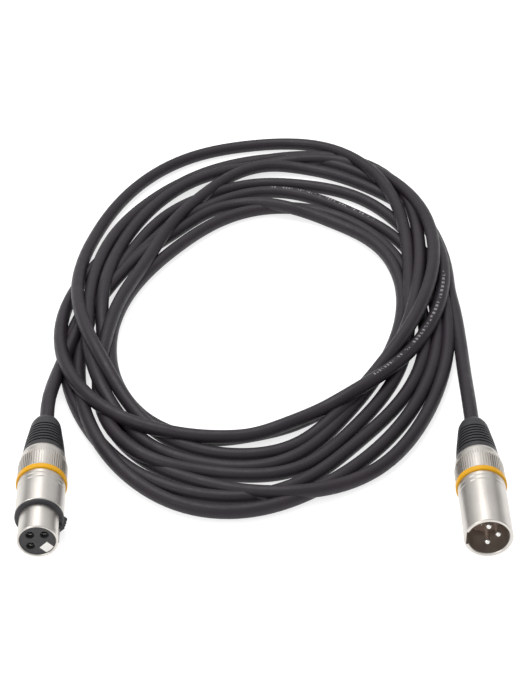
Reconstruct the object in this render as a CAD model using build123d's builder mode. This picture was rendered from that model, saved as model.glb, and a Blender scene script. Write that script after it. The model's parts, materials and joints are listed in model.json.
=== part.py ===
from build123d import *
import math
import os

# ---------------------------------------------------------------- driving dimensions, mm
CABLE_R = 3.0
AXIS_HEIGHT = 10.2
MALE_X = 87.25
MALE_Y = -34.83
FEMALE_X = -85.55
FEMALE_Y = -36.73
FEMALE_YAW = 2.6

SHELL_R = 9.5
NECK_R = 8.25
NECK_LENGTH = 7.8
NECK_BORE_R = 6.6
RING_R = 10.2
RING_LENGTH = 2.5
RUNNING_GAP = 0.15
MALE_BODY_LENGTH = 29.2
FEMALE_BODY_LENGTH = 32.4

RIB_COUNT = 60
RIB_ROOT_R = 9.3
RIB_TIP_R = 9.95
RIB_WIDTH = 0.5
RIB_END = 10.6
RIB_FADE_END = 13.4
BUSHING_END = 16.5
BUSHING_BORE_R = 6.9
CHUCK_FRONT = 8.3
CHUCK_END = 15.0
CHUCK_R = 6.5
CORD_START = 9.0
BOOT_PLUG_START = 15.4
BOOT_END = 39.8
STRAIGHT_RUN = 18.5
BOOT_BORE_R = 3.3
GROOVE_FIRST = 19.9
GROOVE_PITCH = 2.0
GROOVE_COUNT = 7
GROOVE_WIDTH = 0.9
GROOVE_DEPTH = 1.0

LINE_OFFSETS = (2.4, 4.8)
LINE_SEGMENTS = 6
LINE_ARC = 48

CONTACT_PITCH_R = 3.9
PIN_R = 1.2
SOCKET_BORE_R = 1.25
SOCKET_R = 1.75
SOCKET_GAP = 0.02
SOCKET_START = 2.6
SOCKET_HOLE_R = 1.65
SOCKET_END = 15.0
SOLDER_CUP_START = 26.0
SOLDER_CUP_R = 1.0
PIN_ROOT_R = 1.6
CUP_BORE_R = 8.1
CUP_DEPTH = 12.7
MALE_INSERT_END = 23.1
SOLDER_CUP_END = 29.0
WIRE_R = 0.6
WIRE_START = 27.5
WIRE_GATHER_R = 1.5
MALE_ANGLES = (0, 90, -90)
MALE_KEY_ANGLE = 180

NOSE_BAND_R = 7.95
NOSE_R = 7.75
NOSE_BORE_R = 7.05
NOSE_LENGTH = 12.9
SHOULDER_END = 14.3
SHOULDER_R = 9.6
FEMALE_INSERT_R = 7.0
FEMALE_INSERT_START = 0.5
FEMALE_INSERT_END = 22.0
FEMALE_ANGLES = (134, 44, 224)
LATCH_ANGLE = -46

KEY_WIDTH = 5.6
KEY_R = 8.45
KEY_SLOT_R = 8.6
KEY_SLOT_WIDTH = 6.0
KEY_SLOT_DEPTH = 12.6
HOOK_POCKET_R = 9.2
KEY_START = 3.2
KEY_END = 11.3
LEVER_WIDTH = 4.1
SLOT_WIDTH = 4.3
WINDOW_WIDTH = 7.6
WINDOW_END = 19.8
TAB_WIDTH = 7.0
TAB_FLOOR_GAP = 0.2
PIVOT_BACK = 2.0
PIVOT_R = 5.0
PIVOT_PIN_R = 0.6
PIVOT_PIN_LENGTH = 6.4
PIVOT_CLEARANCE = 0.05

COIL_OUTER = (
    (-4, 267),
    (45, 256),
    (78, 219),
    (89, 172),
    (88, 120),
    (81, 69),
    (66, 30),
    (38, 0),
    (-4, -16),
    (-48, -6),
    (-75, 32),
    (-88, 72),
    (-92, 115),
    (-86, 162),
    (-74, 203),
    (-48, 245),
)
COIL_INNER = (
    (-4, 204),
    (25, 198),
    (48, 180),
    (59, 152),
    (59, 120),
    (51, 86),
    (38, 64),
    (19, 51),
    (-4, 41),
    (-33, 40),
    (-52, 60),
    (-62, 96),
    (-59, 130),
    (-52, 148),
    (-43, 167),
    (-28, 187),
)
COIL_HEIGHT = 17.0
COIL_FILLET = 5.0

os.makedirs("parts", exist_ok=True)
UP = Vector(0, 0, 1)


# ---------------------------------------------------------------- placing frames
class Seat:
    """One connector's frame: distance back from the mouth, and radius from the axis."""

    def __init__(self, mouth, back):
        self.mouth = mouth
        self.back = back
        self.right = back.cross(UP)
        self.side = Plane(origin=mouth, x_dir=back, z_dir=back.cross(UP))
        self.axis = Axis(mouth, back)

    def radial(self, angle):
        turn = math.radians(angle)
        return self.right * math.cos(turn) + UP * math.sin(turn)

    def point(self, distance, angle=0, radius=0):
        return self.mouth + self.back * distance + self.radial(angle) * radius

    def at(self, angle, radius):
        return Seat(self.point(0, angle, radius), self.back)

    def station(self, distance, angle=0):
        return Plane(origin=self.point(distance), x_dir=self.radial(angle), z_dir=self.back * -1)

    def lengthwise(self, angle):
        return Plane(origin=self.mouth, x_dir=self.back, z_dir=self.back.cross(self.radial(angle)))


def outline(plane, points):
    """A closed face through (distance back, radius) points on a seat's plane."""
    with BuildSketch(plane) as shape:
        with BuildLine():
            Polyline(*points, close=True)
        make_face()
    return shape.sketch


def bar(seat, start, end, turned, low, high, width):
    """A lengthwise bar's section at its front end, and how far to extrude it."""
    with BuildSketch(seat.station(start, turned)) as shape:
        with Locations(((low + high) / 2, 0)):
            Rectangle(high - low, width)
    return shape.sketch, start - end


def save(part, name):
    part.label = name
    export_step(part, f"parts/{name}.step")


yaw = math.radians(FEMALE_YAW)
male = Seat(Vector(MALE_X, MALE_Y, AXIS_HEIGHT), Vector(0, 1, 0))
female = Seat(Vector(FEMALE_X, FEMALE_Y, AXIS_HEIGHT), Vector(-math.sin(yaw), math.cos(yaw), 0))


# ---------------------------------------------------------------- male shell
male_profile = (
    (0.3, CUP_BORE_R),
    (0, 8.4),
    (0, 9.2),
    (0.3, SHELL_R),
    (28.9, SHELL_R),
    (MALE_BODY_LENGTH, 9.2),
    (MALE_BODY_LENGTH, NECK_R),
    (MALE_BODY_LENGTH + NECK_LENGTH, NECK_R),
    (MALE_BODY_LENGTH + NECK_LENGTH, NECK_BORE_R),
    (MALE_INSERT_END, NECK_BORE_R),
    (MALE_INSERT_END, CUP_BORE_R),
)
with BuildPart() as male_shell:
    revolve(outline(male.side, male_profile), axis=male.axis)
    key_slot, depth = bar(male, 0, KEY_SLOT_DEPTH, MALE_KEY_ANGLE, 7.0, KEY_SLOT_R, KEY_SLOT_WIDTH)
    extrude(key_slot, amount=depth, mode=Mode.SUBTRACT)
    hook_pocket, depth = bar(male, 1.6, 3.4, MALE_KEY_ANGLE, 7.0, HOOK_POCKET_R, 4.8)
    extrude(hook_pocket, amount=depth, mode=Mode.SUBTRACT)


# ---------------------------------------------------------------- female shell
female_profile = (
    (0.3, NOSE_BORE_R),
    (0, 7.35),
    (0, 7.65),
    (0.3, NOSE_BAND_R),
    (2.8, NOSE_BAND_R),
    (3.0, NOSE_R),
    (SHOULDER_END, NOSE_R),
    (SHOULDER_END, 9.2),
    (SHOULDER_END + 0.3, SHELL_R),
    (32.1, SHELL_R),
    (FEMALE_BODY_LENGTH, 9.2),
    (FEMALE_BODY_LENGTH, NECK_R),
    (FEMALE_BODY_LENGTH + NECK_LENGTH, NECK_R),
    (FEMALE_BODY_LENGTH + NECK_LENGTH, NECK_BORE_R),
    (FEMALE_INSERT_END, NECK_BORE_R),
    (FEMALE_INSERT_END, NOSE_BORE_R),
)
key_profile = (
    (KEY_START, NOSE_BORE_R),
    (KEY_START, KEY_R - 0.3),
    (KEY_START + 0.3, KEY_R),
    (KEY_END, KEY_R),
    (KEY_END, NOSE_BORE_R),
)
bore_profile = (
    (0, 0),
    (0, NOSE_BORE_R),
    (FEMALE_INSERT_END, NOSE_BORE_R),
    (FEMALE_INSERT_END, 0),
)
with BuildPart() as female_shell:
    revolve(outline(female.side, female_profile), axis=female.axis)
    latch_side = female.lengthwise(LATCH_ANGLE)
    extrude(outline(latch_side, key_profile), amount=KEY_WIDTH / 2, both=True)
    revolve(outline(female.side, bore_profile), axis=female.axis, mode=Mode.SUBTRACT)
    hook_slot, depth = bar(female, 6.4, KEY_END + 1, LATCH_ANGLE, 6.0, 9.5, 4.6)
    extrude(hook_slot, amount=depth, mode=Mode.SUBTRACT)
    window, depth = bar(female, KEY_END, WINDOW_END, LATCH_ANGLE, 6.0, 11.0, WINDOW_WIDTH)
    extrude(window, amount=depth, mode=Mode.SUBTRACT)


# ---------------------------------------------------------------- engraved broken lines
def engraved_lines(seat, body_length):
    with BuildPart() as lines:
        for offset in LINE_OFFSETS:
            middle = body_length - offset
            section = (
                (middle - 0.35, SHELL_R + 0.5),
                (middle - 0.35, SHELL_R),
                (middle, SHELL_R - 0.25),
                (middle + 0.35, SHELL_R),
                (middle + 0.35, SHELL_R + 0.5),
            )
            for step in range(LINE_SEGMENTS):
                turned = seat.lengthwise(step * 360 / LINE_SEGMENTS + 6)
                revolve(outline(turned, section), axis=seat.axis, revolution_arc=LINE_ARC)
    return lines.part


def neck_grooves(seat, body_length):
    with BuildPart() as grooves:
        for step in range(5):
            middle = body_length + 3.2 + step
            section = ((middle - 0.4, NECK_R + 0.2), (middle, NECK_R - 0.3), (middle + 0.4, NECK_R + 0.2))
            revolve(outline(seat.side, section), axis=seat.axis)
    return grooves.part


with BuildPart() as male_body:
    add(male_shell.part)
    add(engraved_lines(male, MALE_BODY_LENGTH), mode=Mode.SUBTRACT)
    add(neck_grooves(male, MALE_BODY_LENGTH), mode=Mode.SUBTRACT)
save(male_body.part, "male_shell")

with BuildPart() as female_body:
    add(female_shell.part)
    add(engraved_lines(female, FEMALE_BODY_LENGTH), mode=Mode.SUBTRACT)
    add(neck_grooves(female, FEMALE_BODY_LENGTH), mode=Mode.SUBTRACT)
save(female_body.part, "female_shell")

# ---------------------------------------------------------------- black shoulder ring
shoulder_profile = (
    (NOSE_LENGTH, NOSE_R),
    (NOSE_LENGTH, SHOULDER_R - 0.4),
    (NOSE_LENGTH + 0.4, SHOULDER_R),
    (SHOULDER_END - 0.4, SHOULDER_R),
    (SHOULDER_END, SHOULDER_R - 0.4),
    (SHOULDER_END, NOSE_R),
)
with BuildPart() as shoulder_ring:
    revolve(outline(female.side, shoulder_profile), axis=female.axis)
    gap, depth = bar(female, KEY_END, WINDOW_END, LATCH_ANGLE, 6.0, 11.0, WINDOW_WIDTH)
    extrude(gap, amount=depth, mode=Mode.SUBTRACT)
save(shoulder_ring.part, "female_shoulder_ring")

# ---------------------------------------------------------------- male insert and pins
with BuildPart() as male_insert:
    with BuildSketch(male.station(CUP_DEPTH)):
        Circle(CUP_BORE_R - 0.05)
    extrude(amount=CUP_DEPTH - MALE_INSERT_END)
    for angle in MALE_ANGLES:
        with BuildSketch(male.at(angle, CONTACT_PITCH_R).station(CUP_DEPTH)):
            Circle(PIN_ROOT_R)
        extrude(amount=CUP_DEPTH - MALE_INSERT_END, mode=Mode.SUBTRACT)
save(male_insert.part, "male_insert")

pin_profile = (
    (2.0, 0),
    (2.0, 0.15),
    (1.7, 0.25),
    (1.75, 0.7),
    (2.1, 1.05),
    (2.6, PIN_R),
    (CUP_DEPTH, PIN_R),
    (CUP_DEPTH, PIN_ROOT_R),
    (SOLDER_CUP_END, PIN_ROOT_R),
    (SOLDER_CUP_END, SOLDER_CUP_R),
    (SOLDER_CUP_START, SOLDER_CUP_R),
    (SOLDER_CUP_START, 0),
)
for index, angle in enumerate(MALE_ANGLES):
    seat = male.at(angle, CONTACT_PITCH_R)
    with BuildPart() as pin:
        revolve(outline(seat.side, pin_profile), axis=seat.axis)
    save(pin.part, f"male_pin_{index + 1}")

# ---------------------------------------------------------------- female insert and contacts
socket_hole = (
    (0, 0),
    (0, SOCKET_HOLE_R + 0.2),
    (FEMALE_INSERT_START, SOCKET_HOLE_R + 0.2),
    (FEMALE_INSERT_START + 0.2, SOCKET_HOLE_R),
    (SOCKET_START, SOCKET_HOLE_R),
    (SOCKET_START, SOCKET_R + SOCKET_GAP),
    (FEMALE_INSERT_END + 1, SOCKET_R + SOCKET_GAP),
    (FEMALE_INSERT_END + 1, 0),
)
slot_profile = (
    (0, 2.9),
    (2.4, 2.9),
    (2.4, 2.4),
    (FEMALE_INSERT_END + 1, 2.4),
    (FEMALE_INSERT_END + 1, 8.0),
    (0, 8.0),
)
tab_pocket = ((KEY_END, 4.4), (20.4, 4.4), (20.4, 8.0), (KEY_END, 8.0))
pivot_plane = latch_side.offset(-PIVOT_PIN_LENGTH / 2)
pivot_spot = (PIVOT_BACK, PIVOT_R)
with BuildPart() as female_insert:
    with BuildSketch(female.station(FEMALE_INSERT_START)):
        Circle(FEMALE_INSERT_R)
    extrude(amount=FEMALE_INSERT_START - FEMALE_INSERT_END)
    for angle in FEMALE_ANGLES:
        seat = female.at(angle, CONTACT_PITCH_R)
        revolve(outline(seat.side, socket_hole), axis=seat.axis, mode=Mode.SUBTRACT)
    extrude(outline(latch_side, slot_profile), amount=SLOT_WIDTH / 2, both=True, mode=Mode.SUBTRACT)
    extrude(outline(latch_side, tab_pocket), amount=WINDOW_WIDTH / 2, both=True, mode=Mode.SUBTRACT)
    with BuildSketch(pivot_plane):
        with Locations(pivot_spot):
            Circle(PIVOT_PIN_R)
    extrude(amount=PIVOT_PIN_LENGTH, mode=Mode.SUBTRACT)
save(female_insert.part, "female_insert")

contact_profile = (
    (SOCKET_START, SOCKET_BORE_R + 0.25),
    (SOCKET_START + 0.3, SOCKET_BORE_R),
    (SOCKET_END, SOCKET_BORE_R),
    (SOCKET_END + 0.5, 0),
    (SOLDER_CUP_START, 0),
    (SOLDER_CUP_START, SOLDER_CUP_R),
    (SOLDER_CUP_END, SOLDER_CUP_R),
    (SOLDER_CUP_END, SOCKET_R),
    (SOCKET_START, SOCKET_R),
)
for index, angle in enumerate(FEMALE_ANGLES):
    seat = female.at(angle, CONTACT_PITCH_R)
    with BuildPart() as contact:
        revolve(outline(seat.side, contact_profile), axis=seat.axis)
    save(contact.part, f"female_contact_{index + 1}")

# ---------------------------------------------------------------- latch
lever_profile = (
    (0.5, 3.0),
    (0.5, 7.2),
    (7.2, 7.2),
    (9.6, 9.15),
    (10.8, 9.15),
    (10.8, 6.5),
    (19.2, 6.5),
    (19.2, 5.3),
    (6.0, 5.3),
    (6.0, 3.0),
)
lever_envelope = (
    (0.4, 0),
    (0.4, 6.8),
    (6.9, 6.8),
    (6.9, 9.6),
    (20.0, 9.6),
    (20.0, 0),
)
with BuildPart() as latch_lever:
    extrude(outline(latch_side, lever_profile), amount=LEVER_WIDTH / 2, both=True)
    revolve(outline(female.side, lever_envelope), axis=female.axis, mode=Mode.INTERSECT)
    with BuildSketch(pivot_plane):
        with Locations(pivot_spot):
            Circle(PIVOT_PIN_R + PIVOT_CLEARANCE)
    extrude(amount=PIVOT_PIN_LENGTH, mode=Mode.SUBTRACT)
save(latch_lever.part, "female_latch_lever")

with BuildPart() as latch_pin:
    with BuildSketch(pivot_plane):
        with Locations(pivot_spot):
            Circle(PIVOT_PIN_R)
    extrude(amount=PIVOT_PIN_LENGTH)
save(latch_pin.part, "female_latch_pin")

tab_profile = (
    (11.6, 6.5),
    (11.6, 9.5),
    (12.0, 10.0),
    (12.8, 10.3),
    (13.3, 9.6),
    (13.9, 10.5),
    (14.6, 10.7),
    (15.1, 10.0),
    (15.7, 10.9),
    (16.4, 11.1),
    (16.9, 10.4),
    (17.5, 11.2),
    (18.9, 11.3),
    (19.2, 11.0),
    (19.2, 6.5),
)
with BuildPart() as latch_tab:
    extrude(outline(latch_side, tab_profile), amount=TAB_WIDTH / 2, both=True)
    with Locations((FEMALE_X, FEMALE_Y + WINDOW_END, TAB_FLOOR_GAP)):
        Box(40, 40, 10, align=(Align.CENTER, Align.CENTER, Align.MAX), mode=Mode.SUBTRACT)
save(latch_tab.part, "female_latch_tab")

spring_profile = (
    (7.0, 2.4),
    (7.0, 2.7),
    (9.5, 2.7),
    (16.6, 5.3),
    (17.6, 5.3),
    (17.6, 5.0),
    (16.6, 5.0),
    (9.6, 2.4),
)
with BuildPart() as latch_spring:
    extrude(outline(latch_side, spring_profile), amount=1.5, both=True)
save(latch_spring.part, "female_latch_spring")


# ---------------------------------------------------------------- rear parts, the same on both ends
def id_ring(seat, back):
    section = (
        (back, NECK_R + 0.2),
        (back, RING_R - 0.3),
        (back + 0.3, RING_R),
        (back + RING_LENGTH - 0.3, RING_R),
        (back + RING_LENGTH, RING_R - 0.3),
        (back + RING_LENGTH, NECK_R + 0.2),
    )
    with BuildPart() as ring:
        revolve(outline(seat.side, section), axis=seat.axis)
    return ring.part


def chuck(seat, back):
    section = (
        (back + CHUCK_FRONT, CABLE_R + 0.02),
        (back + CHUCK_FRONT, CHUCK_R),
        (back + 11.0, CHUCK_R),
        (back + CHUCK_END, 5.2),
        (back + CHUCK_END, CABLE_R + 0.02),
    )
    with BuildPart() as clamp:
        revolve(outline(seat.side, section), axis=seat.axis)
        for turned in (30, 90, 150):
            with BuildSketch(seat.station(back + 10.5, turned)):
                Rectangle(20, 1.0)
            extrude(amount=-5, mode=Mode.SUBTRACT)
    return clamp.part


def bushing(seat, back):
    front = back + RING_LENGTH
    section = (
        (front, NECK_R + RUNNING_GAP),
        (front, RIB_ROOT_R - 0.2),
        (front + 0.3, RIB_ROOT_R),
        (back + RIB_FADE_END, RIB_ROOT_R),
        (back + 15.3, 9.2),
        (back + BUSHING_END, 8.8),
        (back + BUSHING_END, BUSHING_BORE_R),
        (back + 8.7, BUSHING_BORE_R),
        (back + 8.1, NECK_R + RUNNING_GAP),
    )
    envelope = (
        (front, 0),
        (front, RIB_TIP_R - 0.3),
        (front + 0.4, RIB_TIP_R),
        (back + RIB_END, RIB_TIP_R),
        (back + RIB_FADE_END, RIB_ROOT_R),
        (back + 15.3, 9.2),
        (back + BUSHING_END, 8.8),
        (back + BUSHING_END, 0),
    )
    with BuildPart() as sleeve:
        revolve(outline(seat.side, section), axis=seat.axis)
        with BuildSketch(seat.station(front)):
            with PolarLocations(RIB_TIP_R - 0.3, RIB_COUNT):
                Rectangle(0.8, RIB_WIDTH)
        extrude(amount=RING_LENGTH - RIB_FADE_END)
        revolve(outline(seat.side, envelope), axis=seat.axis, mode=Mode.INTERSECT)
    return sleeve.part


def boot(seat, back):
    rear = back + BOOT_END
    with BuildPart() as relief:
        with BuildSketch(seat.side):
            with BuildLine():
                Polyline(
                    (rear, BOOT_BORE_R),
                    (back + BOOT_PLUG_START, BOOT_BORE_R),
                    (back + BOOT_PLUG_START, BUSHING_BORE_R),
                    (back + BUSHING_END, BUSHING_BORE_R),
                    (back + BUSHING_END, 8.75),
                    (rear - 20.0, 8.45),
                    (rear - 16.0, 8.05),
                    (rear - 12.6, 7.6),
                    (rear - 9.0, 7.05),
                    (rear - 5.4, 6.55),
                )
                Spline(
                    (rear - 5.4, 6.55),
                    (rear - 2.6, 6.0),
                    (rear - 1.0, 5.3),
                    (rear, 4.1),
                    tangents=((3.6, -0.5), (0.05, -1)),
                )
                Line((rear, 4.1), (rear, BOOT_BORE_R))
            make_face()
        revolve(axis=seat.axis)
        for step in range(GROOVE_COUNT):
            start = back + GROOVE_FIRST + step * GROOVE_PITCH - GROOVE_WIDTH / 2
            radius = 8.6 - GROOVE_DEPTH - step * 0.24
            with BuildSketch(seat.station(start)):
                Circle(11)
                Circle(radius, mode=Mode.SUBTRACT)
            extrude(amount=-GROOVE_WIDTH, mode=Mode.SUBTRACT)
    return relief.part


ENDS = (("male", male, MALE_BODY_LENGTH), ("female", female, FEMALE_BODY_LENGTH))
for name, seat, back in ENDS:
    save(id_ring(seat, back), f"{name}_id_ring")
    save(chuck(seat, back), f"{name}_chuck")
    save(bushing(seat, back), f"{name}_bushing")
    save(boot(seat, back), f"{name}_boot")


# ---------------------------------------------------------------- inner wires
def wire(seat, back, angle):
    start = seat.point(WIRE_START, angle, CONTACT_PITCH_R)
    bend = seat.point(SOLDER_CUP_END + 2.5, angle, CONTACT_PITCH_R)
    entry = seat.point(back + CORD_START - 2.0, angle, WIRE_GATHER_R)
    finish = seat.point(back + CORD_START, angle, WIRE_GATHER_R)
    with BuildPart() as lead:
        with BuildLine():
            FilletPolyline(start, bend, entry, finish, radius=1.5)
        with BuildSketch(Plane(origin=start, z_dir=seat.back)):
            Circle(WIRE_R)
        sweep()
    return lead.part


for index, angle in enumerate(MALE_ANGLES):
    save(wire(male, MALE_BODY_LENGTH, angle), f"male_wire_{index + 1}")
for index, angle in enumerate(FEMALE_ANGLES):
    save(wire(female, FEMALE_BODY_LENGTH, angle), f"female_wire_{index + 1}")

# ---------------------------------------------------------------- coil, as one ring of its outer shape
with BuildPart() as cable_coil:
    with BuildSketch(Plane.XY):
        with BuildLine():
            Spline(*COIL_OUTER, periodic=True)
        make_face()
        with BuildLine():
            Spline(*COIL_INNER, periodic=True)
        make_face(mode=Mode.SUBTRACT)
    extrude(amount=COIL_HEIGHT)
    fillet(cable_coil.faces().sort_by(Axis.Z)[-1].edges(), COIL_FILLET)
save(cable_coil.part, "cable_coil")


# ---------------------------------------------------------------- cable runs between boots and coil
def cord_run(points, first_back, name):
    lengths = [(b - a).length for a, b in zip(points, points[1:])]
    radii = []
    for index in range(1, len(points) - 1):
        before = points[index] - points[index - 1]
        after = points[index + 1] - points[index]
        turn = math.radians(before.get_angle(after))
        radii.append(0.45 * min(lengths[index - 1], lengths[index]) / math.tan(turn / 2))
    print(name, "arc radii", [round(radius, 1) for radius in radii])
    with BuildPart() as run:
        with BuildLine() as path:
            FilletPolyline(*points, radius=radii)
        with BuildSketch(Plane(origin=points[0], z_dir=first_back)):
            Circle(CABLE_R)
        sweep()
    length = sum(edge.length for edge in path.edges())
    print(name, "length", round(length, 1), "volume", round(run.part.volume))
    print(name, "section x length", round(math.pi * CABLE_R**2 * length))
    return run.part


female_points = [
    female.point(FEMALE_BODY_LENGTH + CORD_START),
    female.point(FEMALE_BODY_LENGTH + BOOT_END + STRAIGHT_RUN),
    Vector(-87.2, 103.0, CABLE_R),
    Vector(-80.5, 134.0, CABLE_R),
]
male_points = [
    male.point(MALE_BODY_LENGTH + CORD_START),
    male.point(MALE_BODY_LENGTH + BOOT_END + STRAIGHT_RUN),
    Vector(88.2, 104.0, CABLE_R),
    Vector(87.8, 141.0, CABLE_R),
    Vector(82.8, 177.0, CABLE_R),
]
save(cord_run(female_points, female.back, "cable_run_female"), "cable_run_female")
save(cord_run(male_points, male.back, "cable_run_male"), "cable_run_male")
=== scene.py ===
import json
import bpy
import numpy as np
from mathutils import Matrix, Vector


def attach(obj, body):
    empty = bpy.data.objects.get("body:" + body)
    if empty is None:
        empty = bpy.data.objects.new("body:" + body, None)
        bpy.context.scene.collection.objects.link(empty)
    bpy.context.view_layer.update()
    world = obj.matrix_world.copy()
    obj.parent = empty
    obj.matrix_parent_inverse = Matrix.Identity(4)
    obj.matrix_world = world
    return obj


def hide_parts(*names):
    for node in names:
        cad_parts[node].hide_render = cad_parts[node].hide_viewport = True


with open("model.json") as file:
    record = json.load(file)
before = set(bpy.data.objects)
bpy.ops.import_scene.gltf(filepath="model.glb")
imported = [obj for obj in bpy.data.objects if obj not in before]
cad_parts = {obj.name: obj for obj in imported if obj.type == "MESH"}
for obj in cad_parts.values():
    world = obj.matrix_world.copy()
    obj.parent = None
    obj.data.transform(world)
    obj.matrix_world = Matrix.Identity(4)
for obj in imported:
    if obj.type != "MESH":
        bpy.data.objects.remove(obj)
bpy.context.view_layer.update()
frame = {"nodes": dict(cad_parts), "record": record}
scene = bpy.context.scene
nodes = frame["nodes"]
MM = 0.001

# ---------------------------------------------------------------- camera
CAMERA_AT = Vector((0.55, -565.43, 492.5)) * MM
CAMERA_AIM = Vector((0.55, 100.17, 0.0)) * MM
camera_data = bpy.data.cameras.new("camera")
camera_data.sensor_width = 36
camera_data.lens = 95.76
camera = bpy.data.objects.new("camera", camera_data)
camera.location = CAMERA_AT
camera.rotation_euler = (CAMERA_AIM - CAMERA_AT).to_track_quat("-Z", "Y").to_euler()
scene.collection.objects.link(camera)
scene.camera = camera

# ---------------------------------------------------------------- cable
# The cable's size and its coil are in millimetres, and the leads are in metres.
CABLE_R = 3.0
# The lead from the female connector's boot down towards the floor and to the coil.
FEMALE_LEAD = (
    (-0.08764, 0.00922, 0.0102),
    (-0.08908, 0.0410, 0.0102),
    (-0.0897, 0.0540, 0.0090),
    (-0.0886, 0.0740, 0.0048),
)
# The lead from the coil along the floor and up to the male connector's boot.
MALE_LEAD = (
    (0.0879, 0.1280, 0.0030),
    (0.0883, 0.1112, 0.0030),
    (0.0883, 0.0940, 0.0032),
    (0.0879, 0.0760, 0.0048),
    (0.0874, 0.0560, 0.0090),
    (0.08725, 0.0380, 0.0102),
    (0.08725, 0.01117, 0.0102),
)
# The coil's turns: half-widths of each turn about the coil's middle, every 20 degrees clockwise
# seen from above, as they would be if the whole cable lay on the floor. lifted() then moves what
# lies on other turns along the camera's line of sight, so a turn looks as wide as it says here.
# The turns are longer front to back than side to side by COIL_ASPECT.
COIL_MIDDLE = (-4.0, 116.0)
COIL_ASPECT = 1.62
DIRECTION_STEP = 20
FIRST_DIRECTION = -100
TURNS = (
    (83, 71, 64, 60, 62, 63, 63, 66, 72, 70, 63, 58, 57, 60, 62, 64, 68, 70),
    (73, 76, 80, 82, 84, 89, 97, 104, 92, 76, 65, 57, 50, 48, 49, 54, 60, 64),
    (64, 60, 55, 53, 55, 59, 64, 70, 75, 77, 77, 72, 68, 70, 73, 76, 80, 83),
    (83, 74, 65, 64, 65, 69, 72, 75, 82, 84, 82, 78, 75, 75, 78, 81, 82, 81),
    (77, 71, 68, 70, 71, 74, 78, 85, 88, 89, 87, 84, 81, 75, 71, 71, 74, 73),
    (67, 70, 74, 78, 83, 88, 96, 103, 99, 81, 64, 56, 54, 56, 57, 59, 62, 64),
    (70, 82, 88, 93, 96, 98, 103, 100, 85, 73, 69, 65, 63, 65, 65, 67, 73, 74),
    (67, 62, 59, 64, 72, 82, 88, 93, 98, 89, 71, 56, 49, 47, 49, 53, 61, 74),
    (85, 84, 77, 80, 84, 88, 94, 98, 99, 92),
)
# Which turn lies over which, top first, every 30 degrees from the left-hand side.
STACKING_STEP = 30
STACKING_START = -90
STACKING = (
    (7, 9, 6, 8, 2, 1, 5, 4, 3),
    (7, 6, 2, 8, 5, 1, 3, 4, 9),
    (7, 8, 6, 2, 1, 5, 3, 4, 9),
    (7, 8, 1, 6, 2, 5, 4, 3, 9),
    (7, 8, 5, 4, 1, 2, 6, 3, 9),
    (6, 2, 7, 4, 8, 5, 1, 3, 9),
    (8, 6, 2, 7, 5, 4, 3, 1, 9),
    (8, 5, 4, 3, 7, 1, 6, 2),
    (8, 5, 7, 4, 3, 6, 1, 2),
    (8, 4, 5, 7, 6, 3, 1, 2),
    (8, 7, 4, 3, 5, 1, 6, 2),
    (8, 6, 1, 4, 7, 5, 3, 2),
)
# The settling works on points every FINE_STEP degrees. Turns touch when their points are nearer than
# TOUCH_REACH, and points less than OWN_REACH degrees apart belong to one stretch of the cable.
# It falls short: CONTACT_D is less than CABLE_D and the rounds are few, so turns still run into
# one another, by a quarter of the cable's thickness as a rule and nearly all of it at worst.
FINE_STEP = 2.5
POINTS_PER_TURN = 72
LIFT_ROUNDS = 5
SETTLE_ROUNDS = 6
STIFFNESS = 2925.0
PUSH = 40.0
FLOOR_PUSH = 160.0
CONTACT_D = 5.4
TOUCH_REACH = 0.97 * CONTACT_D
OWN_REACH = 60
TOUCH_WEIGHT = 0.2
RANK_RISE = 0.3


def smooth_reading(values, places):
    """A natural cubic curve through evenly spaced values, read at places counted in spacings."""
    count = len(values)
    system = 4 * np.eye(count) + np.eye(count, k=1) + np.eye(count, k=-1)
    system[0] = np.eye(count)[0]
    system[-1] = np.eye(count)[-1]
    bends = np.zeros(count)
    bends[1:-1] = 6 * np.diff(values, 2)
    bends = np.linalg.solve(system, bends)
    index = np.clip(places.astype(int), 0, count - 2)
    after = places - index
    before = 1 - after
    return (values[index] * before + values[index + 1] * after
            + bends[index] * (before**3 - before) / 6 + bends[index + 1] * (after**3 - after) / 6)


def coil_plan():
    """The coil's line on the floor, and how high each point ranks in the pile."""
    readings = np.array([r for turn in TURNS for r in turn], float)
    last = FIRST_DIRECTION + DIRECTION_STEP * (len(readings) - 1)
    direction = np.arange(FIRST_DIRECTION, last + 0.01, FINE_STEP)
    half = smooth_reading(readings, (direction - FIRST_DIRECTION) / DIRECTION_STEP)
    angle = np.radians(direction)
    x = COIL_MIDDLE[0] + half * np.sin(angle)
    y = COIL_MIDDLE[1] + COIL_ASPECT * half * np.cos(angle)
    stops = []
    ranks = []
    for turn in range(1, len(TURNS) + 1):
        for column, order in enumerate(STACKING):
            if turn in order:
                stops.append(360 * (turn - 1) + STACKING_START + STACKING_STEP * column)
                ranks.append(len(TURNS) - order.index(turn))
    return np.column_stack((x, y)), np.interp(direction, stops, ranks)


def crossings(plan, rank):
    """Pairs of points that touch where two turns meet, and how far apart in height they must be.

    Each meeting is one unbroken stretch, and the pile's ranks along it vote on which turn is over.
    """
    reach = np.hypot(*(plan[:, None, :] - plan[None, :, :]).transpose(2, 0, 1))
    first, second = np.nonzero(np.triu(reach < TOUCH_REACH, int(OWN_REACH / FINE_STEP)))
    turns_apart = np.round((second - first) * FINE_STEP / 360).astype(int)
    order = np.lexsort((first, turns_apart))
    first, second, turns_apart = first[order], second[order], turns_apart[order]
    breaks = (np.diff(turns_apart) != 0) | (np.diff(first) > 2)
    meeting = np.concatenate(([0], np.cumsum(breaks)))
    distance = reach[first, second]
    vote = np.bincount(meeting, (rank[first] - rank[second]) * (CONTACT_D - distance + TOUCH_WEIGHT))
    first_over = vote[meeting] >= 0
    over = np.where(first_over, first, second)
    under = np.where(first_over, second, first)
    return over, under, np.sqrt(CONTACT_D**2 - distance**2)


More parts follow.
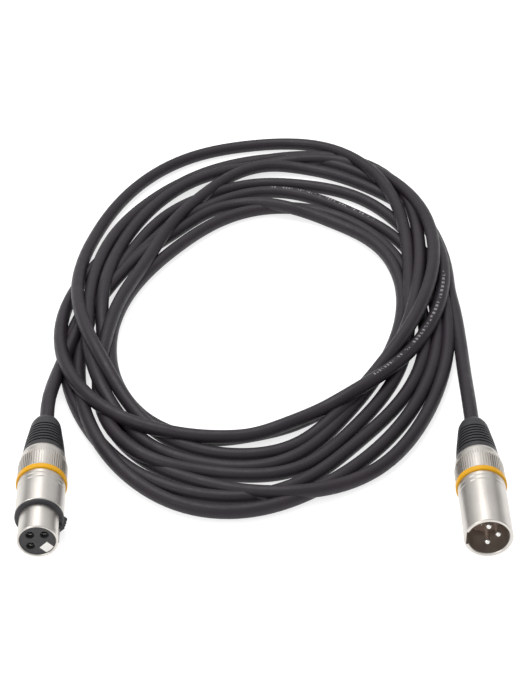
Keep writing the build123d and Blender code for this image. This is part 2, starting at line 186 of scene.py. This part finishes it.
def lifted(marks, height):
    """Where points seen at these floor marks are when they lie at a height instead."""
    eye = np.array(CAMERA_AT / MM)
    share = (height - CABLE_R) / (eye[2] - CABLE_R)
    return marks + (eye[:2] - marks) * share[:, None]


def settle(height, over, under, apart):
    """Heights of a springy cable that is pushed up by the floor and by the turns under it.

    Each round goes half the way to the line whose bending, weight and contacts balance, with the
    contacts that the last round's line pressed on. The contacts give way like springs, and what
    the rounds leave below the floor is set back on it.
    """
    count = len(height)
    curvature = np.diff(np.eye(count), 2, axis=0)
    bending = STIFFNESS * curvature.T @ curvature + 0.001 * np.eye(count)
    ends = (0, count - 1)
    for _ in range(SETTLE_ROUNDS):
        pressed = height[over] - height[under] < apart
        upper, lower, gap = over[pressed], under[pressed], apart[pressed]
        balance = bending.copy()
        load = -np.ones(count)
        np.add.at(balance, (upper, upper), PUSH)
        np.add.at(balance, (lower, lower), PUSH)
        np.add.at(balance, (upper, lower), -PUSH)
        np.add.at(balance, (lower, upper), -PUSH)
        np.add.at(load, upper, PUSH * gap)
        np.add.at(load, lower, -PUSH * gap)
        floored = np.concatenate((np.nonzero(height < CABLE_R)[0], ends))
        np.add.at(balance, (floored, floored), FLOOR_PUSH)
        np.add.at(load, floored, FLOOR_PUSH * CABLE_R)
        height = height + 0.5 * (np.linalg.solve(balance, load) - height)
    return np.maximum(height, CABLE_R)


marks, rank = coil_plan()
height = CABLE_R + RANK_RISE * rank
lift = height
for _ in range(LIFT_ROUNDS):
    plan = lifted(marks, lift)
    height = settle(height, *crossings(plan, rank))
    lift = (lift + height) / 2
stride = int(round(360 / POINTS_PER_TURN / FINE_STEP))
coil = MM * np.column_stack((plan, height))[::stride]
route = (*FEMALE_LEAD, *coil.tolist(), *MALE_LEAD)
cable_data = bpy.data.curves.new("cable", "CURVE")
cable_data.dimensions = "3D"
spline = cable_data.splines.new("NURBS")
spline.points.add(len(route) - 1)
for point, place in zip(spline.points, route):
    point.co = (*place, 1)
    point.radius = CABLE_R * MM  # times the bevel depth of 1 m
spline.order_u = 3
spline.use_endpoint_u = True
spline.resolution_u = 2
cable_data.bevel_depth = 1.0
cable_data.bevel_resolution = 5
cable = bpy.data.objects.new("microphone_cable", cable_data)
scene.collection.objects.link(cable)
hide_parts("cable_coil", "cable_run_female", "cable_run_male")
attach(cable, "cable")


# ---------------------------------------------------------------- materials
def new_material(name, colour, roughness, metallic=0.0):
    material = bpy.data.materials.new(name)
    material.use_nodes = True
    shader = material.node_tree.nodes["Principled BSDF"]
    shader.inputs["Base Color"].default_value = (*colour, 1)
    shader.inputs["Roughness"].default_value = roughness
    shader.inputs["Metallic"].default_value = metallic
    return material, shader


def noise(tree, scale, detail=2.0, stretch=(1, 1, 1)):
    coords = tree.nodes.new("ShaderNodeTexCoord")
    mapping = tree.nodes.new("ShaderNodeMapping")
    mapping.inputs["Scale"].default_value = stretch
    texture = tree.nodes.new("ShaderNodeTexNoise")
    texture.inputs["Scale"].default_value = scale
    texture.inputs["Detail"].default_value = detail
    tree.links.new(coords.outputs["Object"], mapping.inputs["Vector"])
    tree.links.new(mapping.outputs["Vector"], texture.inputs["Vector"])
    return texture.outputs["Fac"]


def ramp(tree, value, low, high, start=0.3, end=0.7):
    node = tree.nodes.new("ShaderNodeValToRGB")
    node.color_ramp.elements[0].position = start
    node.color_ramp.elements[0].color = (*low, 1)
    node.color_ramp.elements[1].position = end
    node.color_ramp.elements[1].color = (*high, 1)
    tree.links.new(value, node.inputs["Fac"])
    return node.outputs["Color"]


def spread(tree, value, low, high):
    node = tree.nodes.new("ShaderNodeMapRange")
    node.inputs["From Min"].default_value = 0.25
    node.inputs["From Max"].default_value = 0.75
    node.inputs["To Min"].default_value = low
    node.inputs["To Max"].default_value = high
    tree.links.new(value, node.inputs["Value"])
    return node.outputs["Result"]


def bump(tree, shader, value, strength, distance):
    node = tree.nodes.new("ShaderNodeBump")
    node.inputs["Strength"].default_value = strength
    node.inputs["Distance"].default_value = distance
    tree.links.new(value, node.inputs["Height"])
    tree.links.new(node.outputs["Normal"], shader.inputs["Normal"])


def finish_surface(name, low, high, roughness, metallic=0.0, patch=60, grain=2500, depth=0.00004,
                   stretch=(1, 1, 1), strength=0.3):
    """A procedural finish: two close colours in soft patches, uneven gloss, and a fine grain."""
    material, shader = new_material(name, high, roughness[0], metallic)
    tree = material.node_tree
    patches = noise(tree, patch, 4)
    tree.links.new(ramp(tree, patches, low, high), shader.inputs["Base Color"])
    tree.links.new(spread(tree, noise(tree, patch * 6, 3, stretch), *roughness), shader.inputs["Roughness"])
    bump(tree, shader, noise(tree, grain, 3, stretch), strength, depth)
    return material, shader


# Where the ticks are along the cable, as fractions of its length, and how many fit in all of it.
TICKS_AT = (0.394, 0.879)
TICKS_REACH = 0.0068
TICK_COUNT = 2700
TICK_GAP = 0.47
TICK_FACING = 0.975
TICK_STRENGTH = 0.6
TICK_COLOUR = (0.32, 0.31, 0.32, 1)
finishes = {}
finishes["nickel"], _ = finish_surface(
    "nickel", (0.57, 0.54, 0.505), (0.65, 0.62, 0.58), (0.33, 0.43), 1.0, 90, 1800, 0.00001,
    (1, 0.06, 1), 0.2)
finishes["latch_steel"], _ = finish_surface(
    "latch_steel", (0.66, 0.65, 0.62), (0.74, 0.73, 0.70), (0.2, 0.34), 1.0, 140, 1800, 0.00001)
finishes["contact_silver"], _ = finish_surface(
    "contact_silver", (0.78, 0.77, 0.74), (0.88, 0.87, 0.84), (0.1, 0.2), 1.0, 200, 2400, 0.000005)
finishes["amber_ring"], amber = finish_surface(
    "amber_ring", (0.62, 0.31, 0.003), (0.70, 0.355, 0.005), (0.3, 0.42), 0.0, 120, 2200, 0.00001)
amber.inputs["Specular IOR Level"].default_value = 0.3
finishes["boot_black"], _ = finish_surface(
    "boot_black", (0.012, 0.011, 0.0135), (0.019, 0.0175, 0.021), (0.45, 0.6), 0.0, 80, 3200, 0.00003)
finishes["black_rubber"], _ = finish_surface(
    "black_rubber", (0.016, 0.015, 0.018), (0.026, 0.024, 0.028), (0.42, 0.6), 0.0, 120, 3000, 0.00002)
finishes["female_insert"], _ = finish_surface(
    "female_insert", (0.019, 0.018, 0.020), (0.028, 0.0265, 0.029), (0.5, 0.65), 0.0, 150, 2600, 0.00002)
finishes["male_insert"], _ = finish_surface(
    "male_insert", (0.32, 0.225, 0.185), (0.38, 0.28, 0.235), (0.28, 0.42), 0.0, 150, 2600, 0.00002)
finishes["chuck_plastic"], _ = finish_surface(
    "chuck_plastic", (0.66, 0.64, 0.58), (0.74, 0.72, 0.67), (0.4, 0.55))
finishes["wire_red"], _ = finish_surface("wire_red", (0.5, 0.02, 0.02), (0.62, 0.04, 0.035), (0.35, 0.5))
finishes["wire_white"], _ = finish_surface("wire_white", (0.7, 0.7, 0.67), (0.8, 0.8, 0.77), (0.35, 0.5))
finishes["wire_shield"], _ = finish_surface(
    "wire_shield", (0.62, 0.32, 0.2), (0.76, 0.44, 0.3), (0.3, 0.45), 1.0, 900, 5000, 0.00005)
finishes["cable_jacket"], jacket = finish_surface(
    "cable_jacket", (0.0150, 0.0118, 0.0158), (0.0225, 0.0178, 0.0235), (0.42, 0.56), 0.0, 45, 2600, 0.00005)

jacket.inputs["Specular IOR Level"].default_value = 0.3


def number(tree, operation, first, second, third=None):
    """A Math node; each of its inputs is a number or another node's output."""
    node = tree.nodes.new("ShaderNodeMath")
    node.operation = operation
    for socket, value in zip(node.inputs, (first, second, third)):
        if isinstance(value, (int, float)):
            socket.default_value = value
        elif value is not None:
            tree.links.new(value, socket)
    return node.outputs["Value"]


def print_ticks(material, shader):
    """Short pale ticks along the jacket's top in two stretches, where the maker's print would be."""
    tree = material.node_tree
    coords = tree.nodes.new("ShaderNodeTexCoord")
    along = tree.nodes.new("ShaderNodeSeparateXYZ")
    facing = tree.nodes.new("ShaderNodeSeparateXYZ")
    tree.links.new(coords.outputs["UV"], along.inputs["Vector"])
    tree.links.new(coords.outputs["Normal"], facing.inputs["Vector"])
    place = along.outputs["X"]
    first = number(tree, "COMPARE", place, TICKS_AT[0], TICKS_REACH)
    second = number(tree, "COMPARE", place, TICKS_AT[1], TICKS_REACH)
    stretch = number(tree, "MAXIMUM", first, second)
    pitch = number(tree, "FRACT", number(tree, "MULTIPLY", place, TICK_COUNT), 0)
    tick = number(tree, "LESS_THAN", pitch, 0.5)
    gaps = number(tree, "GREATER_THAN", noise(tree, 420, 1), TICK_GAP)
    top = number(tree, "GREATER_THAN", facing.outputs["Z"], TICK_FACING)
    ticks = number(tree, "MULTIPLY", stretch, tick)
    mask = number(tree, "MULTIPLY", ticks, number(tree, "MULTIPLY", gaps, top))
    mix = tree.nodes.new("ShaderNodeMix")
    mix.data_type = "RGBA"
    tree.links.new(number(tree, "MULTIPLY", mask, TICK_STRENGTH), mix.inputs["Factor"])
    tree.links.new(shader.inputs["Base Color"].links[0].from_socket, mix.inputs["A"])
    mix.inputs["B"].default_value = TICK_COLOUR
    tree.links.new(mix.outputs["Result"], shader.inputs["Base Color"])


print_ticks(finishes["cable_jacket"], jacket)
for part in frame["record"]["subparts"]:
    mesh = nodes[part["node"]].data
    mesh.materials.clear()
    mesh.materials.append(finishes[part["material_slot"]])
cable_data.materials.append(finishes["cable_jacket"])

# ---------------------------------------------------------------- floor and light
bpy.ops.mesh.primitive_plane_add(size=8, location=(0, 0, -0.0005))
floor = bpy.context.active_object
floor.name = "floor"
floor_material, floor_shader = new_material("floor", (0.5, 0.5, 0.5), 0.95)
floor_shader.inputs["Specular IOR Level"].default_value = 0.0
floor_shader.inputs["Emission Color"].default_value = (1, 1, 1, 1)
floor_shader.inputs["Emission Strength"].default_value = 0.72
floor.data.materials.append(floor_material)

world = bpy.data.worlds.new("world")
scene.world = world
world.use_nodes = True
world.node_tree.nodes["Background"].inputs["Color"].default_value = (1, 1, 1, 1)
world.node_tree.nodes["Background"].inputs["Strength"].default_value = 0.72


def aimed(thing, place, aim):
    thing.location = place
    thing.rotation_euler = (Vector(aim) - Vector(place)).to_track_quat("-Z", "Y").to_euler()
    return thing


def soft_light(name, place, aim, size, power, shine):
    data = bpy.data.lights.new(name, "AREA")
    data.specular_factor = shine
    data.shape = "RECTANGLE"
    data.size, data.size_y = size
    data.energy = power
    scene.collection.objects.link(aimed(bpy.data.objects.new(name, data), place, aim))


def dark_card(name, place, aim, width, length):
    """A black studio card that shows only in the metal's reflections."""
    bpy.ops.mesh.primitive_plane_add(size=1)
    card = aimed(bpy.context.active_object, place, aim)
    card.name = name
    card.scale = (width, length, 1)
    card.visible_camera = False
    card.visible_diffuse = False
    card.visible_shadow = False
    card.visible_transmission = False
    card.data.materials.append(card_black)


# Each card stands on the coil's side of its connector.
card_black, _ = new_material("card_black", (0.08, 0.08, 0.08), 0.9)
for side, middle, inward in (("left", -0.0866, 1), ("right", 0.0873, -1)):
    dark_card(f"card_{side}", (middle + inward * 0.42, 0.0, 0.15), (middle, 0, 0.01), 0.9, 0.09)
soft_light("overhead", (-0.25, 0.45, 1.2), (0, 0.1, 0), (0.9, 0.9), 11, 0.15)
soft_light("front_left", (-0.9, -0.8, 0.9), (0, 0.05, 0), (0.6, 0.6), 4, 0.25)
scene.view_settings.view_transform = "Standard"
bpy.context.view_layer.update()
